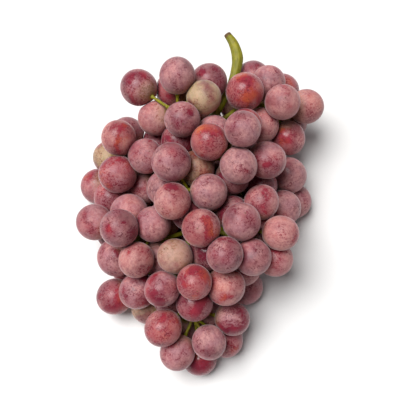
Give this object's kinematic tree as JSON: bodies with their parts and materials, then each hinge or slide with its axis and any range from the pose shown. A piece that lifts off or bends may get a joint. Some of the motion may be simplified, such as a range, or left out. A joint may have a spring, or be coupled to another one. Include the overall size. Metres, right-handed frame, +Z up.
{
  "type": "bunch of grapes",
  "caption": "Bunch of large round red table grapes lying on its side, with a cut green main stem, side branches and berries on short stalks.",
  "frame": {"origin": "on the surface the bunch lies on, under the middle of its box", "axes": "+Y along the main stem towards its cut end, +X across the bunch, +Z up"},
  "size_m": [0.1753, 0.2388, 0.1031],
  "materials": {
    "grape_skin": "dusky red skin with a dull waxy bloom, rubbed glossy in patches",
    "green_stem": "satin yellow-green stem with a dry brown cut end"
  },
  "bodies": {
    "root": {"stem": "green_stem", "berries_01": "grape_skin", "berries_02": "grape_skin", "berries_03": "grape_skin", "berries_04": "grape_skin", "berries_05": "grape_skin", "berries_06": "grape_skin", "berries_07": "grape_skin", "berries_08": "grape_skin", "berries_09": "grape_skin", "berries_10": "grape_skin", "berries_11": "grape_skin", "berries_12": "grape_skin", "berries_13": "grape_skin", "berries_14": "grape_skin"}
  },
  "joints": []
}
